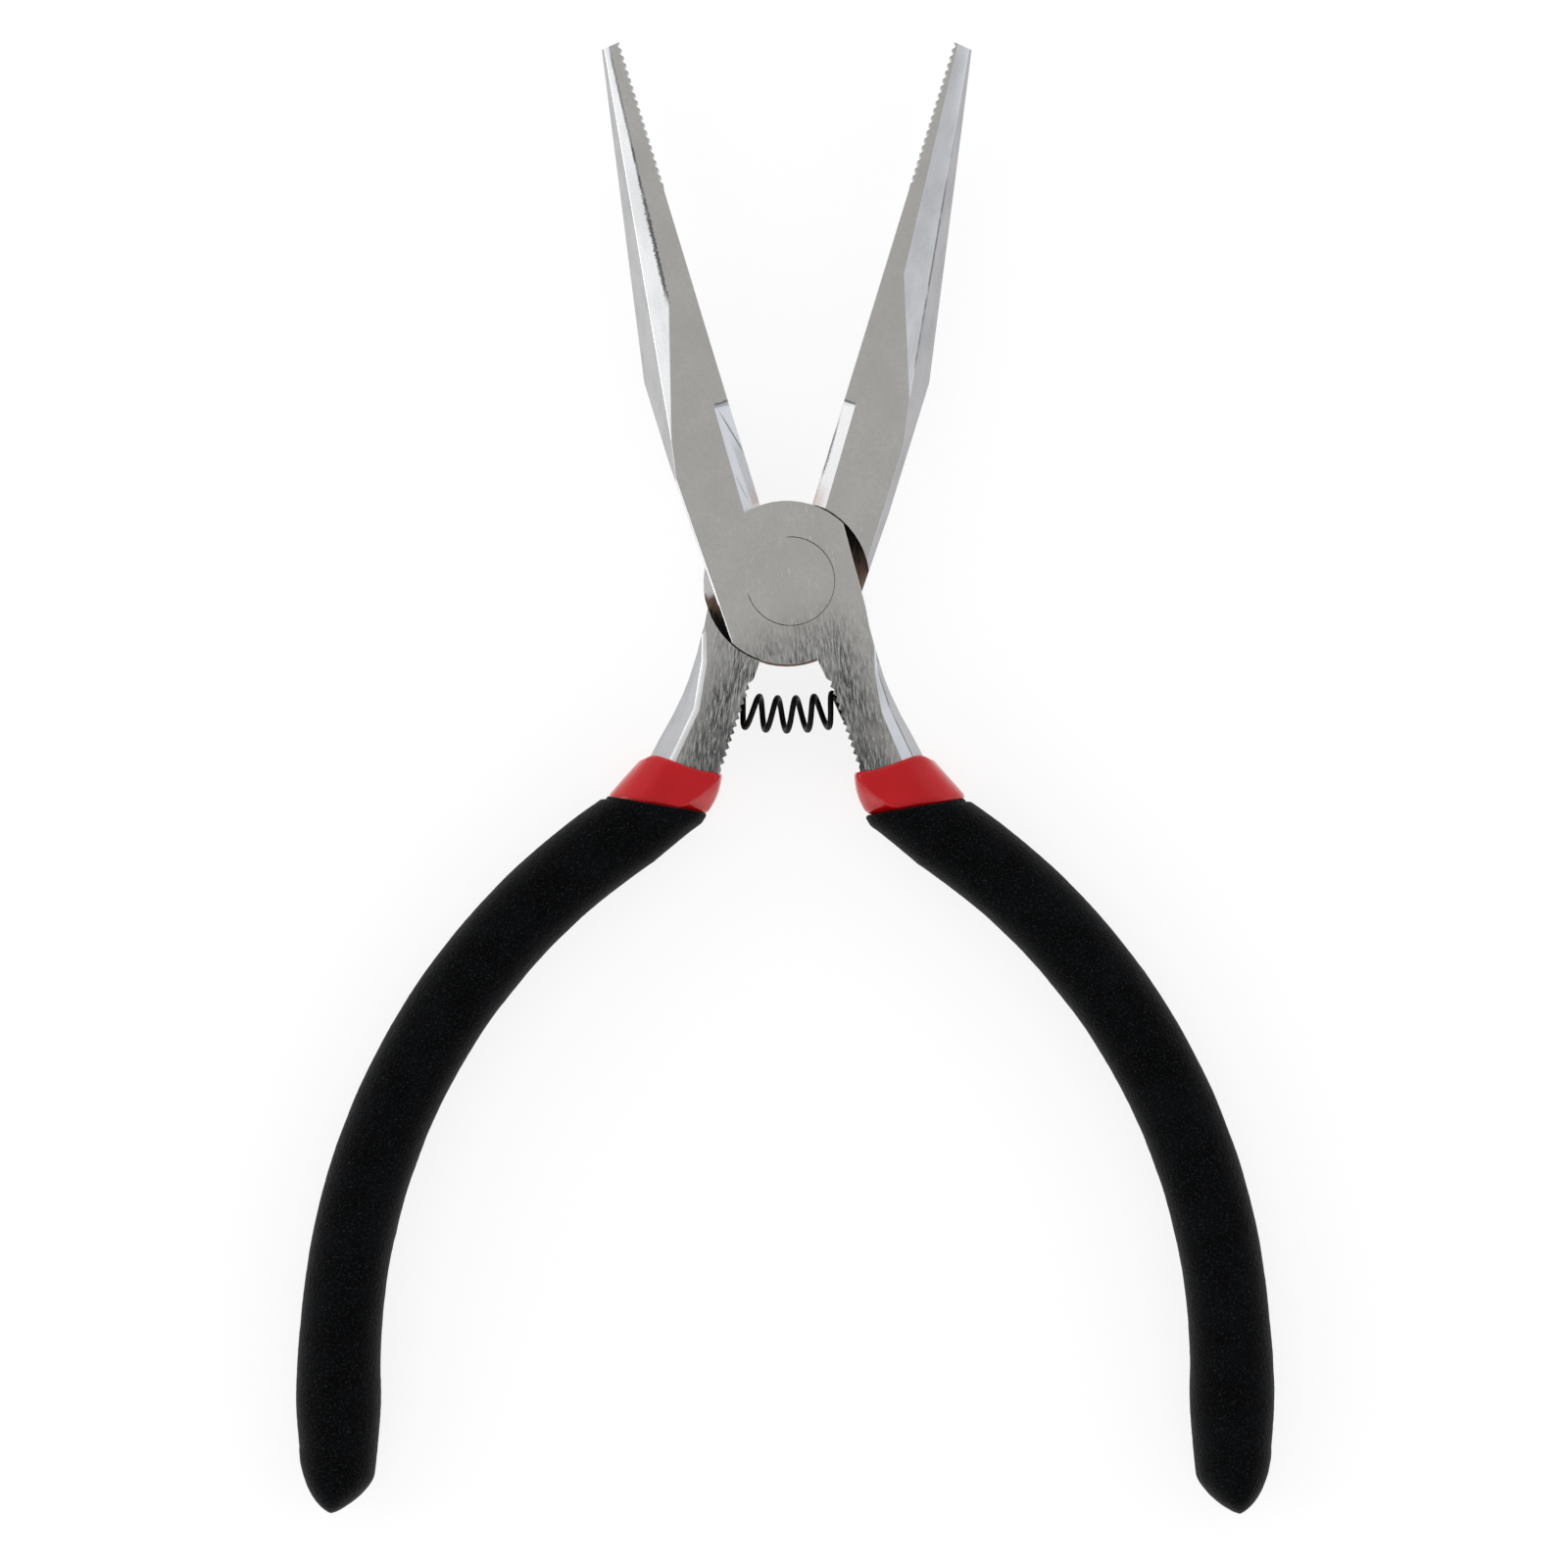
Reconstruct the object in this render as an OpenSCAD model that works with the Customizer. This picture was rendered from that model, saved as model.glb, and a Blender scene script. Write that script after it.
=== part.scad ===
// Long-nose fishing pliers with a lap joint, a return spring and soft grips.
// Each half is drawn closed, its jaw along +Y left of the pivot and its handle along -Y right of it,
// with z = 0 between the two laps. The back half is the same forging turned over about Y, and its lap
// and its bevels are ground a little differently.

/* [Opening] */
// Half of the angle that the spring holds the jaws open to
open_half = 17.2; // [12:0.1:20]

/* [Steel] */
// Thickness of the joint and of the tangs
steel_t = 8.4; // [7:0.1:10]
// Distance from the pivot to the tip of the jaws
jaw_len = 57.7; // [50:0.1:70]
// Width of one jaw at its widest place
jaw_w = 7.85; // [7.5:0.05:8]
// Distance from the pivot to the widest place
jaw_wide_y = 23.8; // [20:0.1:28]
// Width of one jaw at its tip
tip_w = 1.95; // [1.6:0.05:3]
// Thickness of the tip
tip_t = 3; // [2:0.1:5]
// Front jaw's flat: width at the tip, width at the nose, where the nose starts, where its bevel ends
front_flat = [1.15, 3.1, 30.5, 14];
// Back jaw's flat: width at the tip, width at the nose, where the nose starts, where its bevel ends
back_flat = [0.42, 2.1, 33.5, 17.5];
// Width of the outer facet where the jaw is widest
facet_w = 1.75; // [1.2:0.05:2]
// How far the front jaw draws back behind its teeth
front_relief = 0.25; // [0.05:0.05:0.4]
// How far the back jaw draws back behind its teeth
back_relief = 0.1; // [0.05:0.05:0.4]

/* [Teeth and cutter] */
// Distance from one tooth to the next
tooth_pitch = 0.8; // [0.6:0.02:0.9]
// Depth of the teeth
tooth_depth = 0.35; // [0.15:0.05:0.4]
// Number of teeth on each jaw
jaw_teeth = 19; // [10:1:20]
// Number of teeth on each tang
tang_teeth = 12; // [8:1:13]
// Distance from the pivot to the far end of the cutter
cutter_y = 19.3; // [16:0.1:22]
// Width of the front cutter's ground face at its far end and at the pivot
front_cutter = [1.8, 2.2];
// Width of the back cutter's ground face at its far end and at the pivot
back_cutter = [1.35, 1.65];
// Thickness of the cutter's edge
cutter_edge_t = 1; // [0.8:0.1:1.2]

/* [Joint] */
// Radius of the front lap
front_lap_r = 8.3; // [8.2:0.05:8.4]
// Radius of the back lap
back_lap_r = 8.5; // [8.4:0.05:8.6]
// Play between a lap and the other half's shoulder
shoulder_play = 0.15; // [0.1:0.05:0.3]
// Gap between the two laps
lap_gap = 0.04; // [0.02:0.01:0.1]
// Radius of the rivet's shank
rivet_r = 2.75; // [2:0.05:3.2]
// Radius of the rivet's flush heads
head_r = 4.5; // [4:0.1:5]
// How far the front head was hammered off centre
head_off = 0.4; // [0:0.1:0.5]
// Running clearance round the rivet in the back half
rivet_play = 0.03; // [0.02:0.01:0.1]

/* [Spring] */
// Outer diameter of the spring
spring_d = 3.95; // [3:0.05:4.2]
// Diameter of the spring's wire
wire_d = 0.6; // [0.3:0.05:0.6]
// Number of turns
spring_turns = 7; // [5:1:8]
// Length of the spring along its bent axis
spring_len = 14; // [13:0.1:14.4]
// Radius of the seats drilled in the tangs
seat_r = 2.3; // [2.25:0.05:2.6]

/* [Handles] */
// Radius of the arc that the handles follow
bow_r = 65.85; // [65:0.05:67]
// Width of the grips, seen from above
grip_w = 8.5; // [8:0.1:9]
// Thickness of the grips
grip_t = 10.8; // [10:0.1:12]
// Thickness of the red sleeves
sleeve_t = 9.4; // [9:0.1:10]
// Width of the steel inside the grips
shank_w = 4.8; // [4:0.1:5.2]
// Thickness of the steel inside the grips
shank_t = 5; // [4:0.1:6]

/* [Hidden] */
$fn = 96;
half_t = steel_t / 2;
reach = 120;                       // longer than the pliers in any cutting block
front_side_w = 7.35;               // width left of the pivot
back_side_w = 7.53;
side_lean = 0.033;                 // how much wider the straight sides get per mm upwards
front_lap_right = 7.15;            // the front lap is straight on its right, too
back_lap_cut = [7.95, 73];         // distance and direction of the flat that hides the back lap
head_h = 1.4;                      // height of a rivet head
head_play = 0.05;                  // gap round a rivet head
front_tang_in = [0.6, 1.1, 1.35];  // tang's inner edge: beside the joint, first and last tooth
back_tang_in = [0.25, 0.45, 0.65];
tang_teeth_y = -10.6;              // top of the tang's teeth
tang_end = -21.6;                  // end of the full thickness, inside the sleeve
// a tang's outer bevel, downwards: y, edge of the flat, ridge between the strip and the steep facet
front_tang_bevel = [[-8.6, 6.65, 6.7], [-11.5, 5.8, 6.15], [-15.5, 5.3, 6.2], [-22.5, 6, 7.3]];
back_tang_bevel = [[-6.6, 6.9, 6.95], [-10.2, 5.65, 5.9], [-15, 4.95, 5.25], [-22.5, 6, 6.35]];
strip_slope = 0.45;                // drop per mm across the strip
facet_slope = 2;                   // drop per mm across the steep facet
seat_y = -13.85;                   // distance of the spring's seats from the pivot
seat_x = 3.4;                      // bottom of a seat
bow_c = [-43.15, -70.5];           // centre of the handle's arc
bow_top = 38;                      // arc angle where the shank's bar starts
bow_grip_top = 46;                 // arc angle above the grip's slanted top edge
bow_shank_end = -19;               // arc angle where the shank ends, inside the grip
bow_end = -24.5;                   // arc angle where the grip's rounded end starts
grip_in = 0.75;                    // the grip's inner side never passes this
grip_top = [[0.8, -24.9], [11.05, -26.25]];    // slanted edge between sleeve and grip
end_r = 3.4;                       // radius of the grip's tip
end_c = [16.1, -100.95];           // centre of the grip's tip

steel_grey = [0.66, 0.66, 0.64];

function unit(v) = v / norm(v);
function on_bow(r, a) = bow_c + r * [cos(a), sin(a)];
// Height at x, y of the plane through three points
function plane_z(p, q, r, x, y) =
    let (n = cross(q - p, r - p)) p.z - (n.x * (x - p.x) + n.y * (y - p.y)) / n.z;

// A block that fills the side of a plane that its normal points to, from p to q or to both sides of p
module beyond(p, q, r, limited = false) {
    u = unit(q - p);
    n = unit(cross(q - p, r - p));
    v = cross(n, u);
    start = limited ? 0 : -reach;
    length = limited ? norm(q - p) : 2 * reach;
    multmatrix([[u.x, v.x, n.x, p.x], [u.y, v.y, n.y, p.y], [u.z, v.z, n.z, p.z], [0, 0, 0, 1]])
        translate([start, -reach, 0])
            cube([length, 2 * reach, reach]);
}

module both_faces() {
    children();
    mirror([0, 0, 1]) children();
}

// Keeps what lies between two heights along Y
module between(y0, y1) {
    intersection() {
        children();
        translate([-reach, y0, -reach]) cube([2 * reach, y1 - y0, 2 * reach]);
    }
}

// Jaw seen from above, its toothed inner edge on x = 0
module jaw_outline(relief) {
    crests = [for (i = [0 : jaw_teeth]) [0, jaw_len - i * tooth_pitch]];
    roots = [for (i = [0 : jaw_teeth - 1]) [-tooth_depth, jaw_len - (i + 0.45) * tooth_pitch]];
    edge = [for (i = [0 : jaw_teeth - 1]) each [crests[i], roots[i]]];
    last = crests[jaw_teeth];
    polygon(concat([[-jaw_w, 0], [-jaw_w, jaw_wide_y], [-tip_w, jaw_len - 0.2]],
                   edge, [last, [-relief / 2, last.y - 0.6], [-relief, cutter_y], [-relief, 0]]));
}

module jaw(back) {
    flat = back ? back_flat : front_flat;
    relief = back ? back_relief : front_relief;
    cutter = back ? back_cutter : front_cutter;
    nose_y = flat[2];
    tip = [-flat[0], jaw_len, tip_t / 2];
    nose = [-flat[1], nose_y, half_t];
    run_out = [-jaw_w, flat[3], half_t];
    ridge_x = [-(tip_w - 0.3), -(jaw_w - facet_w)];
    ridge_tip = [ridge_x[0], jaw_len, plane_z(tip, nose, run_out, ridge_x[0], jaw_len)];
    ridge_wide = [ridge_x[1], jaw_wide_y, plane_z(tip, nose, run_out, ridge_x[1], jaw_wide_y)];
    side = [-jaw_w, jaw_wide_y, 0.9];
    difference() {
        intersection() {
            translate([0, 0, -half_t]) linear_extrude(steel_t) jaw_outline(relief);
            rotate([90, 0, 90]) translate([0, 0, -reach])
                linear_extrude(2 * reach)
                    polygon([[-1, -half_t], [nose_y, -half_t], [jaw_len, -tip_t / 2],
                             [jaw_len, tip_t / 2], [nose_y, half_t], [-1, half_t]]);
        }
        both_faces() {
            beyond(nose, tip, run_out);
            beyond(ridge_wide, ridge_tip, side);
            // ground face of the cutter
            between(0, cutter_y)
                beyond([-cutter[0], cutter_y, half_t], [-cutter[1], 0, half_t],
                       [-relief, cutter_y, cutter_edge_t / 2]);
        }
    }
}

// Lap of the joint: a disc. The front one has a straight right side; the back one, which is larger,
// has a flat where it would show between the jaws
module lap(back) {
    difference() {
        translate([0, 0, lap_gap / 2])
            cylinder(r = back ? back_lap_r : front_lap_r, h = half_t - lap_gap / 2);
        if (back)
            rotate(back_lap_cut[1])
                translate([back_lap_cut[0], -reach, -reach]) cube(2 * reach);
        else
            beyond([front_lap_right, 0, 0], [front_lap_right, 0, 1],
                   [front_lap_right - side_lean, -1, 0]);
    }
}

module tang_outline(x_in) {
    last = tang_teeth - 1;
    crests = [for (i = [0 : last])
        [x_in[1] + (x_in[2] - x_in[1]) * i / last, tang_teeth_y - i * tooth_pitch]];
    edge = [for (c = crests) each [c, c + [tooth_depth, -0.45 * tooth_pitch]]];
    polygon(concat([[x_in[0], 0], [x_in[0], -8], [x_in[1] - 0.15, tang_teeth_y + 0.3]], edge,
                   [[x_in[2] + 0.1, crests[last].y - tooth_pitch], [x_in[2] + 0.1, tang_end],
                    [8.15, tang_end], [8.1, -21.2], [7.7, -19], [7.1, -16.2], [6.75, -13.8],
                    [6.62, -12.2], [6.6, -9.3], [6.7, -6.8], [7, -4], [7.02, 0]]));
}

// Outer bevel of a tang: a strip beside the flat, then a steeper facet, each ground in three steps
module tang_bevel(steps) {
    last = len(steps) - 2;
    flat = [for (s = steps) [s[1], s[0], half_t]];
    ridge = [for (s = steps) [s[2], s[0], half_t - strip_slope * (s[2] - s[1])]];
    intersection_for(i = [0 : last])
        beyond(flat[i], flat[i + 1], ridge[i + 1]);
    intersection_for(i = [0 : last]) {
        top = [ridge[i].x, ridge[i].y,
               plane_z(flat[i], flat[i + 1], ridge[i + 1], ridge[i].x, ridge[i].y)];
        beyond(top, ridge[i + 1], ridge[i + 1] + [1, 0, -facet_slope]);
    }
}

// Handle steel from the joint to just inside the sleeve
module tang(back) {
    difference() {
        translate([0, 0, -half_t]) linear_extrude(steel_t)
            tang_outline(back ? back_tang_in : front_tang_in);
        both_faces() tang_bevel(back ? back_tang_bevel : front_tang_bevel);
    }
}

// Steel that carries the sleeve and the grip: a wedge from the tang that ends in a bent bar
module shank() {
    wedge_end = bow_top - 1;
    wedge_w = shank_w + 0.6;
    wedge_t = shank_t + 0.6;
    translate(bow_c) rotate(bow_shank_end)
        rotate_extrude(angle = bow_top - bow_shank_end)
            translate([bow_r - shank_w / 2, -shank_t / 2]) square([shank_w, shank_t]);
    translate([0, 0, -wedge_t / 2]) linear_extrude(wedge_t)
        polygon([[1.9, tang_end + 1], [7.3, tang_end + 1], on_bow(bow_r + wedge_w / 2, wedge_end),
                 on_bow(bow_r - wedge_w / 2, wedge_end)]);
}

module spring_seat() {
    translate([0, seat_y, 0]) rotate([0, 90, 0])
        cylinder(r = seat_r, h = seat_x);
}

module forged_half(back = false) {
    side_w = back ? back_side_w : front_side_w;
    other_lap_r = back ? front_lap_r : back_lap_r;
    difference() {
        union() {
            jaw(back);
            lap(back);
            tang(back);
            shank();
        }
        // straight outer side of the lap and the jaw
        beyond([-side_w, 0, 0], [-side_w, 0, 1], [-side_w - side_lean, 1, 0]);
        // the other half's lap turns in here
        translate([0, 0, -half_t - 1])
            cylinder(r = other_lap_r + shoulder_play, h = half_t + 1 + lap_gap / 2);
        spring_seat();
    }
}

// Places a closed half at rest: the front one as it is, the back one turned over
module at_rest(back = false) {
    translate([0, 0, half_t])
        rotate([0, 0, back ? -open_half : open_half])
            rotate([0, back ? 180 : 0, 0])
                children();
}

module front_half() {
    color(steel_grey) at_rest() difference() {
        forged_half();
        cylinder(r = rivet_r, h = steel_t);
        translate([head_off, 0, half_t - head_h])
            cylinder(r1 = rivet_r, r2 = head_r + head_play, h = head_h);
    }
}

module back_half() {
    color(steel_grey) at_rest(back = true) difference() {
        forged_half(back = true);
        cylinder(r = rivet_r + rivet_play, h = steel_t);
        translate([0, 0, half_t - head_h])
            cylinder(r1 = rivet_r + head_play, r2 = head_r + head_play, h = head_h);
    }
}

module pivot_rivet() {
    color(steel_grey) at_rest() {
        translate([0, 0, -half_t]) cylinder(r = rivet_r, h = steel_t);
        translate([head_off, 0, half_t - head_h])
            cylinder(r1 = rivet_r, r2 = head_r, h = head_h);
        translate([0, 0, -half_t])
            cylinder(r1 = head_r, r2 = rivet_r, h = head_h);
    }
}

// Coil whose axis bends from one seat's direction to the other's
module return_spring() {
    ring_steps = 12;
    sides = 8;
    coil_r = (spring_d - wire_d) / 2;
    bend_r = spring_len / 2 / (open_half * PI / 180);
    // the seats' line crosses the middle here
    axis_c = (seat_y + bend_r) / cos(open_half);
    rings = spring_turns * ring_steps;
    // direction of the bent axis, and how far the wire has turned, at a fraction of the length
    axis_a = function (f) (2 * f - 1) * open_half;
    turned = function (f) 180 + f * spring_turns * 360;
    wire_at = function (f)
        let (a = axis_a(f), t = turned(f),
             out = [sin(a), -cos(a), 0])
        [0, axis_c, half_t] + (bend_r + coil_r * cos(t)) * out + [0, 0, coil_r * sin(t)];
    ring = function (i)
        let (f = i / rings, a = axis_a(f), t = turned(f),
             out = cos(t) * [sin(a), -cos(a), 0] + [0, 0, sin(t)],
             ahead = unit(wire_at(f + 0.001) - wire_at(f - 0.001)),
             side = cross(ahead, out))
        [for (k = [0 : sides - 1])
            wire_at(f) + wire_d / 2 * (cos(360 * k / sides) * out + sin(360 * k / sides) * side)];
    points = [for (i = [0 : rings]) each ring(i)];
    skin = [for (i = [0 : rings - 1], k = [0 : sides - 1])
        let (a = i * sides + k, b = i * sides + (k + 1) % sides)
        each [[a, b, b + sides], [a, b + sides, a + sides]]];
    color([0.05, 0.05, 0.05])
        polyhedron(points, concat(skin, [[for (k = [sides - 1 : -1 : 0]) k],
                                         [for (k = [0 : sides - 1]) rings * sides + k]]));
}

// Red collar over the end of the tang
module sleeve(back = false) {
    difference() {
        translate([0, 0, -sleeve_t / 2])
            linear_extrude(sleeve_t)
                polygon([[0.5, -20.6], [3.5, -20.9], [6.2, -20.8], [8.75, -21.6],
                         [9.8, -23.5], grip_top[1], grip_top[0], [0.45, -23.3]]);
        tang(back);
        shank();
    }
}

// Section of a grip: two round sides joined by a straight stretch
module grip_section(r) {
    side_z = (grip_t - grip_w) / 2;
    for (z = [-side_z, side_z])
        translate([0, z]) circle(r);
    translate([-r, -side_z]) square([2 * r, 2 * side_z]);
}

// Soft grip: a bent bar with a rounded tip and a slanted top
module grip() {
    top_dir = grip_top[1] - grip_top[0];
    end_start = on_bow(bow_r, bow_end + 1.5);
    difference() {
        union() {
            translate(bow_c) rotate(bow_end)
                rotate_extrude(angle = bow_grip_top - bow_end)
                    translate([bow_r, 0]) grip_section(grip_w / 2);
            // the tip gets narrower in three round steps
            for (f = [0, 0.5, 1]) {
                c = end_start + f * (end_c - end_start);
                r = grip_w / 2 - 0.05 + f * f * (end_r - grip_w / 2 + 0.05);
                translate(c) rotate_extrude() intersection() {
                    grip_section(r);
                    translate([0, -grip_t]) square(2 * grip_t);
                }
            }
        }
        translate([grip_top[0].x, grip_top[0].y, -reach])
            rotate(atan2(top_dir.y, top_dir.x))
                translate([-reach / 2, 0]) cube([reach, reach, 2 * reach]);
        translate([grip_in - reach, -40, -reach]) cube([reach, 40, 2 * reach]);
        shank();
    }
}

module right_sleeve() { color([0.76, 0.1, 0.13]) at_rest() sleeve(); }
module left_sleeve() { color([0.76, 0.1, 0.13]) at_rest(back = true) sleeve(back = true); }
module right_grip() { color([0.07, 0.08, 0.09]) at_rest() grip(); }
module left_grip() { color([0.07, 0.08, 0.09]) at_rest(back = true) grip(); }

front_half();
back_half();
pivot_rivet();
return_spring();
right_sleeve();
left_sleeve();
right_grip();
left_grip();
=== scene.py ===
import math

import bmesh
import bpy
from mathutils import Matrix, Vector, noise


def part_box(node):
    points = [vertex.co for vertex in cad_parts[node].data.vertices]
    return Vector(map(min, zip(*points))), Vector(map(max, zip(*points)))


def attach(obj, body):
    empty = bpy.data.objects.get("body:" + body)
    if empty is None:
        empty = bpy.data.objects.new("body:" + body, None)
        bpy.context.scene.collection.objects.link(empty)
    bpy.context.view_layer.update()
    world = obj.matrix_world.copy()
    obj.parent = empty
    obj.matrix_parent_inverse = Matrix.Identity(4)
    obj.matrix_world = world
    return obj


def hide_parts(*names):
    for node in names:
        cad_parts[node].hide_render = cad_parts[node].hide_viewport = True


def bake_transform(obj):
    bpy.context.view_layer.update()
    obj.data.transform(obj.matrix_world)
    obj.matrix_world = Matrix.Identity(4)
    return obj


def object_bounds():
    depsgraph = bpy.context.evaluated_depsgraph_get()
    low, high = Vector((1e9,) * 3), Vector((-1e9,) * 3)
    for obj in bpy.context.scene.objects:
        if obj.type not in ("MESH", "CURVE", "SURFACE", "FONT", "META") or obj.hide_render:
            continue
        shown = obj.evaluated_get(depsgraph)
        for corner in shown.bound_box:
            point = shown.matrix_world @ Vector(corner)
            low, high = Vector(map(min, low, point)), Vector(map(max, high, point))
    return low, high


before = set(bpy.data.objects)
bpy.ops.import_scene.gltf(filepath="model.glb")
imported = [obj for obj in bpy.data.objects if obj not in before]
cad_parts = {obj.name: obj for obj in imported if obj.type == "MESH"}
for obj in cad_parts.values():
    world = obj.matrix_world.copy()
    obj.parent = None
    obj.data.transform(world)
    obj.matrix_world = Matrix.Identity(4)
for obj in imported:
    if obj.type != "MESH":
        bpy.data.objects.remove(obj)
cad_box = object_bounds()

MM = 0.001
OPEN_HALF = math.radians(17.2)                 # each half is turned this far from closed
FLOOR_Z = cad_box[0].z
STEEL_LOW, STEEL_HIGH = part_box("front_half")
MID_Z = (STEEL_HIGH.z + STEEL_LOW.z) / 2
GRIP_LOW, GRIP_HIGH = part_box("right_grip")
GRIP_HALF_T = (GRIP_HIGH.z - GRIP_LOW.z) / 2 / MM
SLEEVE_LOW, SLEEVE_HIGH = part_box("right_sleeve")
SLEEVE_HALF_T = (SLEEVE_HIGH.z - SLEEVE_LOW.z) / 2 / MM

# Closed frame: where the steel's regions lie
TANG_Y = -6.0                                  # the tang starts here, below the joint
OUTER_X = -3.0                                 # the outer side beside the joint is beyond this
HOLE_R = 5.0                                   # the rivet's hole and its widened ends
SEAT_Y = -13.85                                # axis of the spring's seats
SEAT_R, SEAT_X = 2.4, 3.6                      # a little past a seat's radius and its bottom
CUTTER_Y = (8.0, 19.31)                        # just past the cutter's near and far end
CUTTER_X = -2.2                                # and its outer edge
JAW_TEETH_X, TANG_TEETH_X = -0.4, 1.9          # the teeth lie inwards of these

# Closed frame: the handle's arc, with each edge's radius and its angles in degrees at top and tip
BOW_C = Vector((-43.15, -70.5))
BOW_IN = (61.65, 46.06, -27.0)
BOW_OUT = (69.95, 39.25, -23.7)
GRIP_TIP = Vector((16.2, -104.35))

# Closed frame: the slanted edge between the sleeve and the grip, and the sleeve's outer top corner
GRIP_TOP_IN = Vector((0.8, -24.9))
GRIP_TOP_OUT = Vector((11.05, -26.25))
SLEEVE_OUT_X = 8.95

# The sleeve's wavy top edge: height at places from its inner (-1) to its outer side (1)
SLEEVE_TOP = ((-1, -20.6), (-0.3, -20.95), (0.3, -20.8), (0.75, -20.85), (1, -21.6))


def closed_frame(back):
    """Matrix from a half's closed frame in millimetres to its place at rest in metres."""
    turned_over = Matrix.Rotation(math.pi if back else 0.0, 4, "Y")
    opened = Matrix.Rotation(-OPEN_HALF if back else OPEN_HALF, 4, "Z")
    return Matrix.Translation((0, 0, MID_Z)) @ opened @ turned_over @ Matrix.Scale(MM, 4)


def smoothstep(low, high, x):
    """0 below low, 1 above high, and smooth between."""
    t = min(max((x - low) / (high - low), 0.0), 1.0)
    return t * t * (3 - 2 * t)


def through(points, t):
    """Height at t of a smooth curve through (place, height) points."""
    if t <= points[0][0]:
        return points[0][1]
    for i in range(len(points) - 1):
        (t0, v0), (t1, v1) = points[i], points[i + 1]
        if t <= t1:
            before = points[max(i - 1, 0)]
            after = points[min(i + 2, len(points) - 1)]
            slope0 = (v1 - before[1]) / (t1 - before[0])
            slope1 = (after[1] - v0) / (after[0] - t0)
            f = (t - t0) / (t1 - t0)
            span = t1 - t0
            return ((2 * f**3 - 3 * f**2 + 1) * v0 + (f**3 - 2 * f**2 + f) * span * slope0
                    + (3 * f**2 - 2 * f**3) * v1 + (f**3 - f**2) * span * slope1)
    return points[-1][1]


# ---------------------------------------------------------------- node helpers

def node(tree, kind, inputs=None, **settings):
    """Adds a node, with its settings, and numbers or other nodes' outputs in its inputs."""
    made = tree.nodes.new(kind)
    for key, value in settings.items():
        setattr(made, key, value)
    for key, value in (inputs or {}).items():
        if isinstance(value, bpy.types.NodeSocket):
            tree.links.new(value, made.inputs[key])
        else:
            made.inputs[key].default_value = value
    return made


def calc(tree, operation, a, b=0.0, c=0.0):
    """Arithmetic on numbers or other nodes' outputs."""
    return node(tree, "ShaderNodeMath", {0: a, 1: b, 2: c}, operation=operation).outputs[0]


def mask(tree, value, low, high):
    """Smooth step of a value from low (0) to high (1)."""
    inputs = {"Value": value, "From Min": low, "From Max": high}
    made = node(tree, "ShaderNodeMapRange", inputs, interpolation_type="SMOOTHSTEP")
    return made.outputs["Result"]


def mix(tree, factor, a, b):
    """Colour a where the factor is 0, and b where it is 1."""
    return node(tree, "ShaderNodeMix", {0: factor, 6: a, 7: b}, data_type="RGBA").outputs[2]


def grain(tree, vector, scale, detail=2.0, rough=0.5):
    """Noise around 0.5, finer along each axis by that axis's scale."""
    scaled = node(tree, "ShaderNodeVectorMath", {0: vector, 1: scale}, operation="MULTIPLY")
    inputs = {"Vector": scaled.outputs[0], "Scale": 1.0, "Detail": detail, "Roughness": rough}
    return node(tree, "ShaderNodeTexNoise", inputs).outputs["Fac"]


def bump(tree, height, distance, below=None):
    """Normal of a surface raised by height times distance in metres, on top of the one below."""
    inputs = {"Height": height, "Distance": distance, "Strength": 1.0}
    if below is not None:
        inputs["Normal"] = below
    return node(tree, "ShaderNodeBump", inputs).outputs["Normal"]


def new_material(name):
    """An empty material, its node tree and its shader."""
    material = bpy.data.materials.new(name)
    material.use_nodes = True
    tree = material.node_tree
    return material, tree, tree.nodes["Principled BSDF"]


def set_shader(tree, shader, **values):
    """Fills the shader's sockets; their names have _ for a space."""
    for key, value in values.items():
        socket = shader.inputs[key.replace("_", " ")]
        if isinstance(value, bpy.types.NodeSocket):
            tree.links.new(value, socket)
        else:
            socket.default_value = value


def own_mm(tree, turn=0.0):
    """Place on the object in millimetres, turned back by turn about the pivot."""
    place = node(tree, "ShaderNodeTexCoord").outputs["Object"]
    inputs = {"Vector": place, "Rotation": (0, 0, -turn), "Scale": (1 / MM, 1 / MM, 1 / MM)}
    return node(tree, "ShaderNodeMapping", inputs).outputs["Vector"]


def closed_mm(tree, back):
    """Place in the closed frame of one half, in millimetres."""
    place = node(tree, "ShaderNodeTexCoord").outputs["Object"]
    turn = OPEN_HALF if back else -OPEN_HALF
    inputs = {"Vector": place, "Location": (0, 0, -MID_Z / MM), "Rotation": (0, 0, turn),
              "Scale": (1 / MM, 1 / MM, 1 / MM)}
    turned = node(tree, "ShaderNodeMapping", inputs).outputs["Vector"]
    turned_over = (-1, 1, -1) if back else (1, 1, 1)
    inputs = {0: turned, 1: turned_over}
    return node(tree, "ShaderNodeVectorMath", inputs, operation="MULTIPLY").outputs[0]


def times(tree, *factors):
    """Product of masks and numbers."""
    product = factors[0]
    for factor in factors[1:]:
        product = calc(tree, "MULTIPLY", product, factor)
    return product


def scaled_tone(tree, tone, factor):
    """A colour made darker or lighter by a mask."""
    made = node(tree, "ShaderNodeVectorMath", {0: tone, "Scale": factor}, operation="SCALE")
    return made.outputs[0]


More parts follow.
